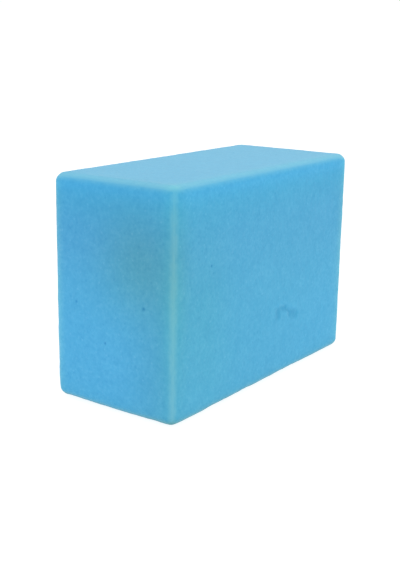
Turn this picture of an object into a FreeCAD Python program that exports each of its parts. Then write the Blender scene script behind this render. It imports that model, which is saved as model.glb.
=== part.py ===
import FreeCAD, Part
import math
import os

# Hand sanding block: a resilient foam core with an abrasive coat on each of its six faces.
#
# Frame, in millimetres: +Z up, X along the length, Y through the depth. The origin is the middle of the
# underside, and the block stands on one of its two long narrow sides. The front is the broad face at -Y.

# Driving dimensions
LENGTH = 100.0           # X, the long side of the broad faces
DEPTH = 45.0             # Y, between the two broad faces: what the hand grips
HEIGHT = 69.0            # Z, the short side of the broad faces
EDGE_RADIUS = 3.0        # outer rounding of the twelve edges and the eight corners
COAT_THICKNESS = 0.5     # abrasive coat on the flat of a face
TIP_COVER = 0.05         # how far the foam's corner tips stay below the block's own rounding
BARE_EDGE = 0.8          # strip of bare foam along the middle of each rounded edge

HALF_SIZES = FreeCAD.Vector(LENGTH / 2, DEPTH / 2, HEIGHT / 2)
CENTRE = FreeCAD.Vector(0, 0, HEIGHT / 2)

# A coat's name, and the outward direction of the face that it covers
COATS = {
    "front_abrasive_coat": FreeCAD.Vector(0, -1, 0),
    "back_abrasive_coat": FreeCAD.Vector(0, 1, 0),
    "left_abrasive_coat": FreeCAD.Vector(-1, 0, 0),
    "right_abrasive_coat": FreeCAD.Vector(1, 0, 0),
    "top_abrasive_coat": FreeCAD.Vector(0, 0, 1),
    "bottom_abrasive_coat": FreeCAD.Vector(0, 0, -1),
}


def core_edge_radius():
    """The foam's own edge radius, smaller than the block's, so that the coats thin out over the edges.

    On a corner's diagonal a rounding of radius r lies r * (sqrt(3) - 1) inside the sharp corner, and the
    foam's sharp corner lies COAT_THICKNESS * sqrt(3) inside the block's.
    """
    return EDGE_RADIUS - (COAT_THICKNESS * math.sqrt(3) - TIP_COVER) / (math.sqrt(3) - 1)


def rounded_box(inset, radius):
    """A box that lies the inset inside the block's faces, with all of its edges rounded."""
    margin = FreeCAD.Vector(inset, inset, inset)
    size = (HALF_SIZES - margin) * 2
    box = Part.makeBox(size.x, size.y, size.z, CENTRE - HALF_SIZES + margin)
    return box.makeFillet(radius, box.Edges)


def in_plane_axes(normal):
    """The two row axes that lie in a face."""
    axes = [FreeCAD.Vector(1, 0, 0), FreeCAD.Vector(0, 1, 0), FreeCAD.Vector(0, 0, 1)]
    return [axis for axis in axes if abs(axis.dot(normal)) < 0.5]


def half_size_along(direction):
    """Half of the block's size along a row axis, which may point either way."""
    return abs(HALF_SIZES.dot(direction))


def rectangle(middle, first_axis, first_half, second_axis, second_half):
    """A closed rectangular wire around a middle point."""
    corners = []
    for first, second in ((-1, -1), (1, -1), (1, 1), (-1, 1)):
        corners.append(middle + first_axis * (first * first_half) + second_axis * (second * second_half))
    return Part.makePolygon(corners + corners[:1])


def face_sector(normal):
    """The frustum in front of a face that its coat may fill.

    Its sides lean in at 45 degrees, along the planes that halve the block's edges, and stand back from
    them by half of the bare strip. It runs from inside the foam to just outside the block.
    """
    first_axis, second_axis = in_plane_axes(normal)
    setback = BARE_EDGE / 2 * math.sqrt(2)
    wires = []
    for depth in (2 * EDGE_RADIUS, -EDGE_RADIUS):
        middle = CENTRE + normal * (half_size_along(normal) - depth)
        first_half = half_size_along(first_axis) - setback - depth
        second_half = half_size_along(second_axis) - setback - depth
        wires.append(rectangle(middle, first_axis, first_half, second_axis, second_half))
    return Part.makeLoft(wires, True, True)


def foam_core():
    """The block of foam, which every coat is bonded to."""
    return rounded_box(COAT_THICKNESS, core_edge_radius())


def abrasive_coat(normal, skin):
    """One face's coat: the part of the skin around the foam that lies in the face's sector."""
    return skin.common(face_sector(normal))


def single_solid(shape):
    """The one solid of a shape that must hold just one."""
    if len(shape.Solids) != 1:
        raise ValueError("expected one solid, found %d" % len(shape.Solids))
    return shape.Solids[0]


def main():
    os.makedirs("parts", exist_ok=True)
    core = foam_core()
    skin = rounded_box(0, EDGE_RADIUS).cut(core)
    nodes = {"foam_core": core}
    for name, normal in COATS.items():
        nodes[name] = abrasive_coat(normal, skin)
    for name, shape in nodes.items():
        solid = single_solid(shape)
        solid.exportStep("parts/%s.step" % name)
        print("%-22s %9.1f mm3" % (name, solid.Volume))


main()
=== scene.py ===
import itertools
import math

import bmesh
import bpy
import numpy as np
from mathutils import Matrix, Vector


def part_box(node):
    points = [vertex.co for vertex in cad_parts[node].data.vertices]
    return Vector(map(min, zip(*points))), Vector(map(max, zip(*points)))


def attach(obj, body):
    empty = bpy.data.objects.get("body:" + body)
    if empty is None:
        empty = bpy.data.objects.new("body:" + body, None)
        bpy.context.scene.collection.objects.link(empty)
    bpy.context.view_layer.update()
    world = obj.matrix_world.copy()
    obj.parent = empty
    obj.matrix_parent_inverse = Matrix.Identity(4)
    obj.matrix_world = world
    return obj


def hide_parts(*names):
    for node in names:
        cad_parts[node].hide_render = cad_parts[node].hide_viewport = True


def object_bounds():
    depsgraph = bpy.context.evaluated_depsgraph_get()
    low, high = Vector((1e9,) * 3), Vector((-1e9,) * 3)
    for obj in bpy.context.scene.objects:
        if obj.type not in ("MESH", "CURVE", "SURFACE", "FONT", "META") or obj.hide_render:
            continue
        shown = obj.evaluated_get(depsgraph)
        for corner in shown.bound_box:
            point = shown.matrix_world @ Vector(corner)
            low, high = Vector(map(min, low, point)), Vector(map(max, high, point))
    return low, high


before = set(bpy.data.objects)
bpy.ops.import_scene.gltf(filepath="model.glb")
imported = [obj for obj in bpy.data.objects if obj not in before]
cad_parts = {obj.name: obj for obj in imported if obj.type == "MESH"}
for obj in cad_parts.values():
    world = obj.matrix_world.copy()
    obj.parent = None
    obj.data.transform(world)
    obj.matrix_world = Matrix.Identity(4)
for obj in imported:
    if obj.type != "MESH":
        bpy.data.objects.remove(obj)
cad_low, cad_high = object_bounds()

# A sanding block: a foam block with a coat of abrasive grain on each face. Every piece is a dense mesh on
# the block's rounded box, raised and lowered by the grain, pits and dents that the real surface has.
# Lengths are in metres, and MM turns millimetres into them.
MM = 0.001

# The rounded box that the pieces follow
LOW = np.array(cad_low)
HIGH = np.array(cad_high)
CENTRE = (LOW + HIGH) / 2
HALF = (HIGH - LOW) / 2
EDGE_RADIUS = 3.0 * MM
FOAM_LOW = np.array(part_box("foam_core")[0])
COAT_DEPTH = float(FOAM_LOW[0] - LOW[0])

# Coats and foam
GRID = 0.28 * MM               # spacing of a coat's outer mesh
LINING_STEP = 5                # cells of the outer mesh to one of the hidden inner mesh
COAT_REACH = math.radians(37)  # how far round an edge a coat goes; the two sides of an edge meet at 45
COAT_RAGGED = 0.05             # how much that reach wanders along an edge
COAT_RAGGED_CELL = 2.2 * MM
BORDER_DIP = 0.01 * MM         # how far a coat sinks at its border
BORDER_THICKNESS = 0.1 * MM
FOAM_DIP = 0.03 * MM           # how far the bare foam lies below the block's rounding
FOAM_FLAT_GRID = 0.7 * MM
FOAM_ARC_CELLS = 12            # cells of the foam's mesh from the flat of a face to the middle of an edge
WELD_DISTANCE = 0.001 * MM
SHARP_ANGLE = math.radians(60)

# Relief: the height of each kind of bump and the size of its cell
GRAIN = ((0.018 * MM, 0.6 * MM), (0.030 * MM, 1.5 * MM))
WAVINESS = ((0.020 * MM, 5 * MM), (0.060 * MM, 19 * MM))
PEAK = 0.35                    # of a noise's size: only a few bumps rise above it
EDGE_NICKS = ((0.18 * MM, 5 * MM), (0.10 * MM, 1.8 * MM))
EDGE_BAND = (1.0 * MM, 4.0 * MM)   # distances from an edge between which its nicks fade
PIT_DEPTH = 0.22 * MM
PIT_RADII = (0.25 * MM, 0.45 * MM)
PIT_MARGIN = 4 * MM            # how far a scattered pit stays from the edges
AREA_PER_PIT = 900 * MM * MM
DENT_DEPTH = 0.25 * MM
DENT_FLOOR = 0.15              # the flat bottom's share of a dent's width
DENT_SHADE = np.array((0.27, 0.14, 0.10))   # share of red, green and blue that the painted shade in a dent takes away
LIP_OFFSET = 2.2 * MM          # how far above a dent the surface is pushed up into a lip
LIP_WIDTH = 0.45               # how far a lip fades to either side, in half widths of its dent
LIP_HEIGHT = 0.05 * MM
# how much paler the painted highlight on a lip is
LIP_HIGHLIGHT = 0.04
WRINKLE_HEIGHT = 0.03 * MM
WRINKLE_FAN = (0.3, 0.9)       # the upward share of a direction where the wrinkles begin and are full
WRINKLE_MIDDLE = 3.5 * MM      # where they are highest, and how far they reach to either side of it
WRINKLE_REACH = 2.5 * MM
WRINKLES_ROUND = 17            # how many there would be in a full circle

# Seeds, so that every run draws the same numbers
RAGGED_SEED = 7
NICK_SEED = 40
PIT_SEED = 11

# Marks on the front and the left end, from the lower end of the edge between them: pits as (along, up,
# radius), and dents as strokes, each from one (along, up) to another with half of its width
FRONT_PITS = ((17.8 * MM, 44.3 * MM, 0.42 * MM),)
LEFT_PITS = (
    (35.8 * MM, 31.6 * MM, 0.30 * MM),
    (10.7 * MM, 33.6 * MM, 0.50 * MM),
    (24.9 * MM, 20.8 * MM, 0.32 * MM),
)
FRONT_DENTS = (
    ((56.2 * MM, 20.7 * MM), (56.0 * MM, 22.2 * MM), 2.2 * MM),
    ((57.4 * MM, 22.8 * MM), (60.4 * MM, 22.5 * MM), 1.5 * MM),
    ((60.8 * MM, 22.2 * MM), (62.8 * MM, 21.0 * MM), 0.7 * MM),
    ((63.8 * MM, 20.1 * MM), (67.4 * MM, 19.1 * MM), 2.3 * MM),
)

# Soft patches: the middle of each from the front left lower corner, its reach to either side, both along X,
# Y and Z in millimetres, and what it does, to the height or to red, green and blue. A reach of FAR is one
# over which a patch hardly fades.
FAR = 1000
WORN_CORNERS = (
    ((0, 0, 0), (3.2, 3.2, 3.2), 0.35 * MM),
    ((0, 42, 0), (8, 13, 3), 0.42 * MM),
)
# Several colour patches below are painted light and shade, as the note on each one says
SHADES = (
    ((0, 0, 68), (FAR, FAR, 4.5), (1.00, 1.07, 1.14)),     # painted glow: light soaking in through the top edges
    ((0, 0, 64), (FAR, FAR, 8), (0.87, 1.00, 1.00)),       # and coming out a purer blue
    ((0, 0, 50), (FAR, FAR, 16), (0.97, 0.95, 0.98)),      # the upper half is a little deeper
    ((0, 0, 0), (FAR, FAR, 3), (0.92, 0.94, 0.90)),        # painted shade on the side that the block stands on,
    ((0, 0, 0), (FAR, 2.5, 1.5), (0.80, 0.75, 0.66)),      # with darker painted contact shade along its four edges
    ((0, 0, 0), (2.5, FAR, 1.5), (0.80, 0.75, 0.66)),
    ((0, 45, 0), (FAR, 2.5, 1.5), (0.80, 0.75, 0.66)),
    ((100, 0, 0), (2.5, FAR, 1.5), (0.80, 0.75, 0.66)),
    ((0, 0, 56), (4, FAR, 14), (0.93, 0.92, 0.97)),        # the left end is deeper towards the top
    ((0, 0, 66), (4, FAR, 5), (0.93, 0.96, 0.97)),
    ((0, 0, 18), (4, FAR, 30), (1.00, 1.00, 1.08)),        # and bluer towards the base
    ((0, 12, 46), (7, 15, 16), (1.03, 0.92, 0.77)),        # warm painted shade on the left end
    ((0, 4, 15), (5, 11, 30), (0.98, 0.92, 0.86)),         # that runs down along the front edge
    ((0, 4, 34), (4, 3, 22), (0.95, 0.97, 0.98)),
    ((13, 0, 32), (14, 4, 26), (0.98, 1.00, 0.93)),        # and, greener, a short way onto the front
    ((0, 0, 40), (5, 5, 45), (1.06, 1.10, 0.98)),          # a painted highlight along the front left edge
    ((97.8, 0, 36), (2.2, 1.2, 60), (1.42, 1.15, 1.00)),   # the two edges on either side of it are paler and redder
    ((0, 43, 36), (1.2, 1.8, 60), (1.42, 1.15, 1.00)),
    ((0, 1.5, 69), (FAR, 2.5, 1), (1.08, 1.06, 1.01)),     # painted sheen on the front and left rims of the top
    ((1.5, 0, 69), (2.5, FAR, 1), (1.08, 1.07, 1.01)),
    ((95, 0, 12), (40, 4, 18), (1.01, 1.03, 1.05)),        # the front is paler near its right lower corner,
    ((18, 0, 8), (18, 4, 10), (1.04, 1.03, 1.00)),         # its left lower one,
    ((50, 0, 42), (30, 4, 20), (1.04, 1.02, 1.00)),        # its middle
    ((97, 0, 42), (5, 1.5, 40), (1.15, 1.04, 1.00)),       # and its right margin
)
WEAR_REACH = 0.85 * MM         # how far from a coat's border its worn rim fades
TOP_LIGHT_SLOPE = (0.48, 1.0)       # the upward share of a surface's direction where the painted top light begins and is full
TOP_LIGHT_COVER = 0.3

# Colours, linear
COAT_DEEP_BLUE = (0.073, 0.387, 0.620, 1)
COAT_PALE_BLUE = (0.090, 0.416, 0.652, 1)
FOAM_BLUE = (0.142, 0.462, 0.645, 1)
# the pale colour of the painted top light on upward faces
TOP_LIGHT_BLUE = (0.448, 0.718, 0.738, 1)
PALE_GRAIN = (0.220, 0.600, 0.820, 1)
PIT_BLUE = (0.030, 0.255, 0.500, 1)
GLOSS = 0.08                   # specular level
ROUGHNESS = (0.45, 0.6)

# Layers of a coat's colour, the lowest first. Most of a noise's values lie in NOISE_SPAN.
NOISE_SPAN = (0.3, 0.7)
CLOUD_CELL = 9 * MM
CLOUD_SHARES = (0.3, 0.7)
# Speckles: the pattern, its cell, the values between which it fades, its share at either, and its colour
SPECKLES = (
    ("noise", 0.95 * MM, (0.3, 0.5), (0.15, 0.0), PIT_BLUE),      # dark grain
    ("noise", 0.95 * MM, (0.5, 0.7), (0.0, 0.11), PALE_GRAIN),    # pale grain
    ("noise", 2.6 * MM, (0.35, 0.6), (0.13, 0.0), PIT_BLUE),      # mottling
    ("cells", 1.9 * MM, (0.08, 0.26), (0.22, 0.0), PIT_BLUE),     # dark flecks
    ("cells", 2.3 * MM, (0.04, 0.20), (0.18, 0.0), PALE_GRAIN),   # pale flecks
)
WEAR_CELL = 2.5 * MM
WEAR_SHARES = (0.45, 1.0)      # least and most of the rim's wear, from place to place
GLOSS_CELL = 0.6 * MM

# Layers of the foam's colour
FOAM_CLOUD_CELL = 0.7 * MM
FOAM_CLOUD_SHARES = (0.0, 0.3)
FOAM_CELL = 0.3 * MM
FOAM_CELL_FADE = (0.0, 0.12)
FOAM_CELL_SHARES = (0.2, 0.0)
FOAM_GLOSS_CELL = 0.5 * MM

# Bump too fine for the meshes: the height of its noise or cells, and the share of it that shows
COARSE_BUMP_CELL = 0.45 * MM
COARSE_BUMP = {"distance": 0.03 * MM, "strength": 0.5}
FINE_BUMP_CELL = 0.22 * MM
FINE_BUMP = {"distance": 0.02 * MM, "strength": 0.3}
FOAM_BUMP = {"distance": 0.06 * MM, "strength": 0.6}


# ---- Noise -----------------------------------------------------------------------------------------------

# Large odd numbers that spread a cell's place and the seed over 32 bits, and the rounds that stir those bits
HASH_PLACE = (73856093, 19349663, 83492791)
HASH_SEED = 2654435761
HASH_ROUNDS = ((13, 1274126177), (15, 2246822519))
HASH_LAST_SHIFT = 16
ALL_BITS = 0xFFFFFFFF


def lattice_random(cells, seed):
    """A repeatable number from 0 to 1 for each whole-numbered cell."""
    x, y, z = (cells.astype(np.int64) * HASH_PLACE).T
    mixed = x ^ y ^ z ^ (seed * HASH_SEED)
    for shift, factor in HASH_ROUNDS:
        mixed = ((mixed ^ (mixed >> shift)) * factor) & ALL_BITS
    return (mixed ^ (mixed >> HASH_LAST_SHIFT)) / ALL_BITS


def value_noise(points, cell, seed):
    """Smooth noise from -1 to 1 at each point, with bumps about one cell wide."""
    scaled = points / cell
    base = np.floor(scaled)
    blend = scaled - base
    blend = blend * blend * (3 - 2 * blend)
    total = np.zeros(len(points))
    for corner in itertools.product((0, 1), repeat=3):
        weight = np.where(corner, blend, 1 - blend).prod(axis=1)
        total += weight * lattice_random(base + corner, seed)
    return total * 2 - 1


def smoothstep(low, high, values):
    """0 below low, 1 above high, and a smooth rise between them."""
    t = np.clip((values - low) / (high - low), 0, 1)
    return t * t * (3 - 2 * t)


# ---- The rounded box -------------------------------------------------------------------------------------

class Face:
    """One face of the block: its outward normal and two directions in it, with along x up = normal."""

    def __init__(self, name, normal, along, up):
        self.name = name
        self.normal = np.array(normal, float)
        self.along = np.array(along, float)
        self.up = np.array(up, float)
        self.half_along = abs(HALF @ self.along)
        self.half_up = abs(HALF @ self.up)
        self.half_normal = abs(HALF @ self.normal)

    def surface(self, along, up, reach=1.0):
        """Points of the rounded face, outward directions there, and how far each has turned from flat.

        along and up are distances over the surface from the face's middle, and reach stretches the part
        of them that goes round an edge.
        """
        flat_along = np.clip(along, EDGE_RADIUS - self.half_along, self.half_along - EDGE_RADIUS)
        flat_up = np.clip(up, EDGE_RADIUS - self.half_up, self.half_up - EDGE_RADIUS)
        turn_along = (along - flat_along) / EDGE_RADIUS * reach
        turn_up = (up - flat_up) / EDGE_RADIUS * reach
        outward = self.normal + np.outer(np.tan(turn_along), self.along) + np.outer(np.tan(turn_up), self.up)
        outward /= np.linalg.norm(outward, axis=1)[:, None]
        middle = CENTRE + self.normal * (self.half_normal - EDGE_RADIUS)
        centres = middle + np.outer(flat_along, self.along) + np.outer(flat_up, self.up)
        turn = np.maximum(abs(turn_along), abs(turn_up))
        return centres + outward * EDGE_RADIUS, outward, turn


FACES = (
    Face("front", (0, -1, 0), (1, 0, 0), (0, 0, 1)),
    Face("back", (0, 1, 0), (-1, 0, 0), (0, 0, 1)),
    Face("left", (-1, 0, 0), (0, -1, 0), (0, 0, 1)),
    Face("right", (1, 0, 0), (0, 1, 0), (0, 0, 1)),
    Face("top", (0, 0, 1), (1, 0, 0), (0, 1, 0)),
    Face("bottom", (0, 0, -1), (-1, 0, 0), (0, 1, 0)),
)


def even_places(half):
    """Evenly spaced distances across a face, from one border of its coat to the other."""
    border = half - EDGE_RADIUS + COAT_REACH * EDGE_RADIUS
    cells = LINING_STEP * math.ceil(2 * border / GRID / LINING_STEP)
    return np.linspace(-border, border, cells + 1)


def graded_places(half):
    """Distances across a face that are close together round its two edges."""
    flat = half - EDGE_RADIUS
    arc = np.linspace(0, math.pi / 4 * EDGE_RADIUS, FOAM_ARC_CELLS + 1)[1:]
    cells = math.ceil(2 * flat / FOAM_FLAT_GRID)
    middle = np.linspace(-flat, flat, cells + 1)
    return np.concatenate((-flat - arc[::-1], middle, flat + arc))


def grid_places(along, up):
    """Both distances of every node of the grid over a face, row by row."""
    return (grid.reshape(-1) for grid in np.meshgrid(along, up, indexing="ij"))


# ---- Relief ----------------------------------------------------------------------------------------------

def distance_to_stroke(points, start, end, half_width):
    """Distance of each point of a plane from a straight stroke, in half widths of the stroke."""
    start, end = np.array(start), np.array(end)
    run = end - start
    share = np.clip((points - start) @ run / (run @ run), 0, 1)
    return np.linalg.norm(points - start - share[:, None] * run, axis=1) / half_width


def distance_to_strokes(points, strokes):
    """Distance of each point of a plane from the nearest of some strokes, in half widths."""
    return np.min([distance_to_stroke(points, *stroke) for stroke in strokes], axis=0)


def scattered_pits(face, seed):
    """A few small pits at places of their own on a face, clear of its edges."""
    source = np.random.default_rng(seed)
    area = face.half_along * face.half_up * 4
    count = int(area / AREA_PER_PIT)
    sides = np.array((face.half_along, face.half_up)) * 2
    places = PIT_MARGIN + source.random((count, 2)) * (sides - 2 * PIT_MARGIN)
    return [(along, up, source.uniform(*PIT_RADII)) for along, up in places]


def face_marks(face):
    """The pits and the dents of one face."""
    if face.name == "front":
        return FRONT_PITS, FRONT_DENTS
    if face.name == "left":
        return [(2 * face.half_along - along, up, radius) for along, up, radius in LEFT_PITS], ()
    return scattered_pits(face, PIT_SEED + len(face.name)), ()


def marks_relief(face, places):
    """Height and painted shade of a face's pits, and what its dents and the lips above them do to the
    colour.
    """
    pits, dents = face_marks(face)
    height = np.zeros(len(places))
    dark = np.zeros(len(places))
    tint = np.ones((len(places), 3))
    for pit_along, pit_up, radius in pits:
        from_pit = np.linalg.norm(places - np.array((pit_along, pit_up)), axis=1)
        dip = np.exp(-(from_pit / radius) ** 2)
        height -= PIT_DEPTH * dip
        dark = np.maximum(dark, dip)
    if dents:
        dip = 1 - smoothstep(DENT_FLOOR, 1, distance_to_strokes(places, dents))
        from_lip = distance_to_strokes(places - np.array((0, LIP_OFFSET)), dents)
        pale = np.exp(-(from_lip / LIP_WIDTH) ** 2) * (1 - dip)
        height += wrinkles(places, np.array(dents[1][1])) + LIP_HEIGHT * pale - DENT_DEPTH * dip
        # painted highlight on the lip above a dent, and painted shade in the dent
        tint = 1 + LIP_HIGHLIGHT * pale[:, None] - np.outer(dip, DENT_SHADE)
    return height, dark, tint


def wrinkles(places, hub):
    """Fine folds that fan out above a dent and die away within a few millimetres."""
    offset = places - hub
    reach = np.linalg.norm(offset, axis=1)
    angle = np.arctan2(offset[:, 1], offset[:, 0])
    fan = smoothstep(*WRINKLE_FAN, np.sin(angle)) * np.exp(-((reach - WRINKLE_MIDDLE) / WRINKLE_REACH) ** 2)
    return WRINKLE_HEIGHT * fan * np.cos(angle * WRINKLES_ROUND)


def patch_strength(points, middle, reach):
    """How strong a soft patch is at each point: 1 at its middle, fading over its reach."""
    offset = (points - LOW) / MM - np.array(middle)
    return np.exp(-((offset / np.array(reach)) ** 2).sum(axis=1))


def worn_corners(points):
    """Height lost at the two lower corners of the left end, the most used ones."""
    return -sum(depth * patch_strength(points, middle, reach) for middle, reach, depth in WORN_CORNERS)


def nicked_edges(points):
    """Height lost along the edges, more in some places than in others."""
    from_sides = np.sort(HALF - abs(points - CENTRE), axis=1)
    near = 1 - smoothstep(*EDGE_BAND, from_sides[:, 1])
    depth = np.zeros(len(points))
    for seed, (size, cell) in enumerate(EDGE_NICKS):
        depth += size * (value_noise(points, cell, NICK_SEED + seed) + 1) / 2
    return -depth * near


def shade(points):
    """What all of the soft patches together do to red, green and blue at each point, painted light and shade
    among them.
    """
    total = np.ones((len(points), 3))
    for middle, reach, gain in SHADES:
        total *= 1 + np.outer(patch_strength(points, middle, reach), np.array(gain) - 1)
    return total


def dust(outward):
    """Share of the painted top light on a surface, by the way that it faces."""
    return smoothstep(*TOP_LIGHT_SLOPE, outward[:, 2])


def rough_relief(points):
    """Height of the grain and of the slow waves, flat where it would pass the block's own surface."""
    height = np.zeros(len(points))
    for seed, (size, cell) in enumerate(GRAIN + WAVINESS):
        height += size * (value_noise(points, cell, seed) - PEAK)
    return np.minimum(height, 0)


def block_relief(points):
    """All of the relief that the coats and the foam between them share."""
    return rough_relief(points) + worn_corners(points) + nicked_edges(points)


# ---- Meshes ----------------------------------------------------------------------------------------------

def grid_quads(node):
    """The four-sided faces between the nodes of a grid, wound so that they face outwards."""
    return np.stack((node[:-1, :-1], node[1:, :-1], node[1:, 1:], node[:-1, 1:]), axis=-1).reshape(-1, 4)


def shell_faces(rows, columns, step):
    """Faces of a closed shell over a grid: fine outside, coarse inside, and a rim that joins the two.

    Returns the faces and the grid nodes that the inside uses, which follow the outer ones in order.
    """
    node = np.arange(rows * columns).reshape(rows, columns)
    used = np.zeros((rows, columns), bool)
    used[::step, ::step] = True
    used[[0, -1], :] = True
    used[:, [0, -1]] = True
    inner = np.full((rows, columns), -1)
    inner[used] = rows * columns + np.arange(used.sum())
    faces = grid_quads(node).tolist()
    for i in range(0, rows - 1, step):
        for j in range(0, columns - 1, step):
            faces.append(lining_cell(inner, i, j, step))
    border = border_walk(rows, columns)
    for (i, j), (k, m) in zip(border, border[1:] + border[:1]):
        faces.append([node[i, j], inner[i, j], inner[k, m], node[k, m]])
    return faces, used.reshape(-1)


def lining_cell(inner, i, j, step):
    """One coarse inner cell, wound the other way, with all of the fine nodes that it has on the border."""
    rows, columns = inner.shape
    last_i, last_j = i + step, j + step
    walk = [(i, m) for m in range(j, last_j)]
    walk += [(k, last_j) for k in range(i, last_i)]
    walk += [(last_i, m) for m in range(last_j, j, -1)]
    walk += [(k, j) for k in range(last_i, i, -1)]
    return [int(inner[place]) for place in walk if inner[place] >= 0]


def border_walk(rows, columns):
    """Grid nodes round the border, once each, in the same sense as the outer faces."""
    walk = [(i, 0) for i in range(rows - 1)]
    walk += [(rows - 1, j) for j in range(columns - 1)]
    walk += [(i, columns - 1) for i in range(rows - 1, 0, -1)]
    walk += [(0, j) for j in range(columns - 1, 0, -1)]
    return walk


def add_piece(name, vertices, faces, attributes, material):
    """A smooth mesh object that rides on the block's one body."""
    mesh = bpy.data.meshes.new(name)
    mesh.from_pydata(vertices, [], faces)
    mesh.polygons.foreach_set("use_smooth", [True] * len(mesh.polygons))
    for attribute, values in attributes.items():
        kind, field = ("FLOAT_VECTOR", "vector") if values.ndim == 2 else ("FLOAT", "value")
        layer = mesh.attributes.new(attribute, kind, "POINT")
        layer.data.foreach_set(field, values.astype(np.float32).reshape(-1))
    mesh.set_sharp_from_angle(angle=SHARP_ANGLE)
    mesh.materials.append(material)
    piece = bpy.data.objects.new(name, mesh)
    bpy.context.scene.collection.objects.link(piece)
    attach(piece, "root")
    return piece


def add_coat(face, material):
    """A face's abrasive coat: a closed shell that thins out and ends raggedly round the edges."""
    along = even_places(face.half_along)
    up = even_places(face.half_up)
    grid_along, grid_up = grid_places(along, up)
    smooth_points = face.surface(grid_along, grid_up)[0]
    reach = 1 + COAT_RAGGED * value_noise(smooth_points, COAT_RAGGED_CELL, RAGGED_SEED)
    points, outward, turn = face.surface(grid_along, grid_up, reach)
    bend = smoothstep(0, COAT_REACH, turn)
    places = np.stack((grid_along + face.half_along, grid_up + face.half_up), axis=1)
    marks, dark, tint = marks_relief(face, places)
    height = block_relief(points) + marks - BORDER_DIP * bend
    depth = COAT_DEPTH + (BORDER_DIP + BORDER_THICKNESS - COAT_DEPTH) * bend
    outer = points + outward * height[:, None]
    inner = points + outward * np.minimum(-depth, height - BORDER_THICKNESS)[:, None]
    faces, used = shell_faces(len(along), len(up), LINING_STEP)
    vertices = np.concatenate((outer, inner[used]))
    from_border = np.minimum(along[-1] - abs(grid_along), up[-1] - abs(grid_up))
    fields = {
        "wear": np.exp(-(from_border / WEAR_REACH) ** 2),
        "mark": dark,
        "dust": dust(outward),
        "shade": shade(points) * tint,
    }
    attributes = {name: np.concatenate((values, values[used])) for name, values in fields.items()}
    coat = add_piece(face.name + "_coat", vertices, faces, attributes, material)
    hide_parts(face.name + "_abrasive_coat")


def add_foam(material):
    """The foam block, one closed skin: deep under the coats, and nearly flush along the bare edges."""
    vertices, faces, shades, top_lights = [], [], [], []
    for face in FACES:
        along = graded_places(face.half_along)
        up = graded_places(face.half_up)
        grid_along, grid_up = grid_places(along, up)
        points, outward, turn = face.surface(grid_along, grid_up)
        bare = smoothstep(0, COAT_REACH, turn)
        depth = COAT_DEPTH + (FOAM_DIP - COAT_DEPTH) * bare
        height = block_relief(points) - depth
        start = len(vertices)
        vertices.extend((points + outward * height[:, None]).tolist())
        shades.append(shade(points))
        top_lights.append(dust(outward))
        node = start + np.arange(len(points)).reshape(len(along), len(up))
        faces.extend(grid_quads(node).tolist())
    attributes = {"shade": np.concatenate(shades), "dust": np.concatenate(top_lights)}
    foam = add_piece("foam_block", vertices, faces, attributes, material)
    weld(foam.data)
    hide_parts("foam_core")


def weld(mesh):
    """Joins the vertices that the six faces share along the edges."""
    work = bmesh.new()
    work.from_mesh(mesh)
    bmesh.ops.remove_doubles(work, verts=work.verts, dist=WELD_DISTANCE)
    work.to_mesh(mesh)
    work.free()


# ---- Materials -------------------------------------------------------------------------------------------

class Nodes:
    """Short calls for building one material's nodes."""

    def __init__(self, name):
        self.material = bpy.data.materials.new(name)
        self.material.use_nodes = True
        self.tree = self.material.node_tree
        self.shader = self.tree.nodes["Principled BSDF"]
        self.position = self.tree.nodes.new("ShaderNodeTexCoord").outputs["Object"]

    def link(self, output, target):
        self.tree.links.new(output, target)

    def noise(self, cell, detail=2.0, roughness=0.5):
        node = self.tree.nodes.new("ShaderNodeTexNoise")
        self.link(self.position, node.inputs["Vector"])
        node.inputs["Scale"].default_value = 1 / cell
        node.inputs["Detail"].default_value = detail
        node.inputs["Roughness"].default_value = roughness
        return node.outputs["Fac"]

    def cells(self, cell):
        node = self.tree.nodes.new("ShaderNodeTexVoronoi")
        self.link(self.position, node.inputs["Vector"])
        node.inputs["Scale"].default_value = 1 / cell
        return node.outputs["Distance"]

    def attribute(self, name, output="Fac"):
        node = self.tree.nodes.new("ShaderNodeAttribute")
        node.attribute_name = name
        return node.outputs[output]

    def span(self, value, low, high, to_low=0.0, to_high=1.0):
        node = self.tree.nodes.new("ShaderNodeMapRange")
        self.link(value, node.inputs["Value"])
        node.inputs["From Min"].default_value = low
        node.inputs["From Max"].default_value = high
        node.inputs["To Min"].default_value = to_low
        node.inputs["To Max"].default_value = to_high
        return node.outputs["Result"]

    def product(self, first, second):
        node = self.tree.nodes.new("ShaderNodeMath")
        node.operation = "MULTIPLY"
        self.link(first, node.inputs[0])
        self.link(second, node.inputs[1])
        return node.outputs[0]

    def mix(self, share, first, second, blend="MIX"):
        """The first colour with a share of the second one, or all of it where the share is None."""
        node = self.tree.nodes.new("ShaderNodeMix")
        node.data_type = "RGBA"
        node.blend_type = blend
        node.inputs["Factor"].default_value = 1.0
        if share is not None:
            self.link(share, node.inputs["Factor"])
        for value, target in ((first, node.inputs["A"]), (second, node.inputs["B"])):
            if isinstance(value, tuple):
                target.default_value = value
            else:
                self.link(value, target)
        return node.outputs["Result"]

    def finish_colour(self, colour):
        """Adds the painted top light and the soft patches, painted light and shade among them, and sets the
        gloss.
        """
        top_lit = self.mix(self.span(self.attribute("dust"), 0.0, 1.0, 0.0, TOP_LIGHT_COVER), colour, TOP_LIGHT_BLUE)
        shaded = self.mix(None, top_lit, self.attribute("shade", "Color"), "MULTIPLY")
        self.link(shaded, self.shader.inputs["Base Color"])
        self.shader.inputs["Specular IOR Level"].default_value = GLOSS

    def bump(self, height, distance, strength, under=None):
        node = self.tree.nodes.new("ShaderNodeBump")
        self.link(height, node.inputs["Height"])
        node.inputs["Distance"].default_value = distance
        node.inputs["Strength"].default_value = strength
        if under is not None:
            self.link(under, node.inputs["Normal"])
        return node.outputs["Normal"]


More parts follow.
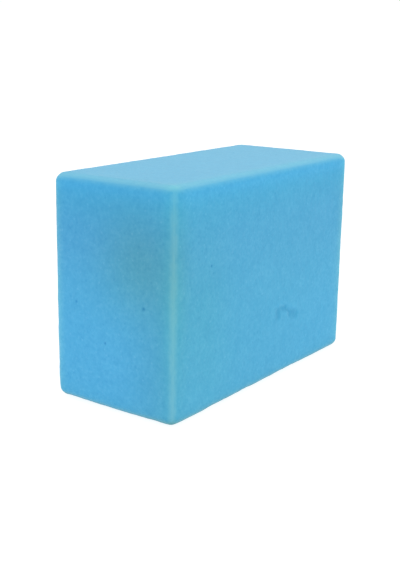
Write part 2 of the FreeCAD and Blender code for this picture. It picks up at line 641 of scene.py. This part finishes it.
def coat_material():
    """Resin full of fine grain: speckled blue, matte, paler and greener where it wears thin."""
    n = Nodes("abrasive_coat")
    clouds = n.span(n.noise(CLOUD_CELL, detail=3), *NOISE_SPAN, *CLOUD_SHARES)
    colour = n.mix(clouds, COAT_DEEP_BLUE, COAT_PALE_BLUE)
    for kind, cell, fade, shares, speckle_colour in SPECKLES:
        pattern = n.noise(cell, roughness=0.6) if kind == "noise" else n.cells(cell)
        colour = n.mix(n.span(pattern, *fade, *shares), colour, speckle_colour)
    ragged = n.span(n.noise(WEAR_CELL, detail=3), *NOISE_SPAN, *WEAR_SHARES)
    colour = n.mix(n.product(ragged, n.attribute("wear")), colour, FOAM_BLUE)
    # the mark is the painted shade in the pits
    n.finish_colour(n.mix(n.attribute("mark"), colour, PIT_BLUE))
    n.link(n.span(n.noise(GLOSS_CELL), *NOISE_SPAN, *ROUGHNESS), n.shader.inputs["Roughness"])
    coarse = n.bump(n.noise(COARSE_BUMP_CELL, detail=3, roughness=0.6), **COARSE_BUMP)
    n.link(n.bump(n.cells(FINE_BUMP_CELL), **FINE_BUMP, under=coarse), n.shader.inputs["Normal"])
    return n.material


def foam_material():
    """Fine-celled foam: a paler, greener blue with open cells."""
    n = Nodes("foam")
    clouds = n.span(n.noise(FOAM_CLOUD_CELL, detail=3), *NOISE_SPAN, *FOAM_CLOUD_SHARES)
    colour = n.mix(clouds, FOAM_BLUE, COAT_PALE_BLUE)
    open_cells = n.cells(FOAM_CELL)
    n.finish_colour(n.mix(n.span(open_cells, *FOAM_CELL_FADE, *FOAM_CELL_SHARES), colour, PIT_BLUE))
    n.link(n.span(n.noise(FOAM_GLOSS_CELL), *NOISE_SPAN, *ROUGHNESS), n.shader.inputs["Roughness"])
    n.link(n.bump(open_cells, **FOAM_BUMP), n.shader.inputs["Normal"])
    return n.material


# ---- Studio ----------------------------------------------------------------------------------------------

# The camera stands off the front left lower corner by these shares of the block's length
CAMERA_OFFSET = Vector((-2.0872, -1.5469, 1.0945))
CAMERA_YAW = math.radians(54.98)     # from +Y towards +X
CAMERA_PITCH = math.radians(14.467)  # downwards
CAMERA_ROLL = math.radians(0.91)
CAMERA_LENS = 62.60                  # millimetres, on a sensor whose long side is 36
CAMERA_SENSOR = 36
CAMERA_CLIP_START = 0.01

SURROUND_WHITE = (1.02, 1.02, 1.02, 1)
FLOOR_GREY = (0.3, 0.3, 0.3, 1)
FLOOR_GLOW = 0.85
FLOOR_HALF = 4.0


def add_camera():
    """The camera at the reference view, with the whole block in its frame."""
    data = bpy.data.cameras.new("camera")
    data.lens = CAMERA_LENS
    data.sensor_width = CAMERA_SENSOR
    data.clip_start = CAMERA_CLIP_START
    camera = bpy.data.objects.new("camera", data)
    turn = Matrix.Rotation(-CAMERA_YAW, 4, "Z") @ Matrix.Rotation(math.pi / 2 - CAMERA_PITCH, 4, "X")
    turn = turn @ Matrix.Rotation(CAMERA_ROLL, 4, "Z")
    place = Vector(LOW) + CAMERA_OFFSET * float(HIGH[0] - LOW[0])
    camera.matrix_world = Matrix.Translation(place) @ turn
    bpy.context.scene.collection.objects.link(camera)
    bpy.context.scene.camera = camera


def add_surround():
    """White studio walls all round, as soft as light can be."""
    world = bpy.data.worlds.new("surround")
    world.use_nodes = True
    world.node_tree.nodes["Background"].inputs["Color"].default_value = SURROUND_WHITE
    bpy.context.scene.world = world


def add_floor():
    """A plain pale floor that glows a little, as a light table does, so that shadows stay faint."""
    mesh = bpy.data.meshes.new("floor")
    signs = ((-1, -1), (1, -1), (1, 1), (-1, 1))
    corners = [(x * FLOOR_HALF, y * FLOOR_HALF, float(LOW[2])) for x, y in signs]
    mesh.from_pydata(corners, [], [(0, 1, 2, 3)])
    material = bpy.data.materials.new("floor")
    material.use_nodes = True
    shader = material.node_tree.nodes["Principled BSDF"]
    shader.inputs["Base Color"].default_value = FLOOR_GREY
    shader.inputs["Roughness"].default_value = 1.0
    shader.inputs["Specular IOR Level"].default_value = 0.0
    shader.inputs["Emission Color"].default_value = (1, 1, 1, 1)
    shader.inputs["Emission Strength"].default_value = FLOOR_GLOW
    mesh.materials.append(material)
    floor = bpy.data.objects.new("floor", mesh)
    bpy.context.scene.collection.objects.link(floor)


coat = coat_material()
for block_face in FACES:
    add_coat(block_face, coat)
add_foam(foam_material())
add_camera()
add_surround()
add_floor()
bpy.context.scene.view_settings.view_transform = "Standard"
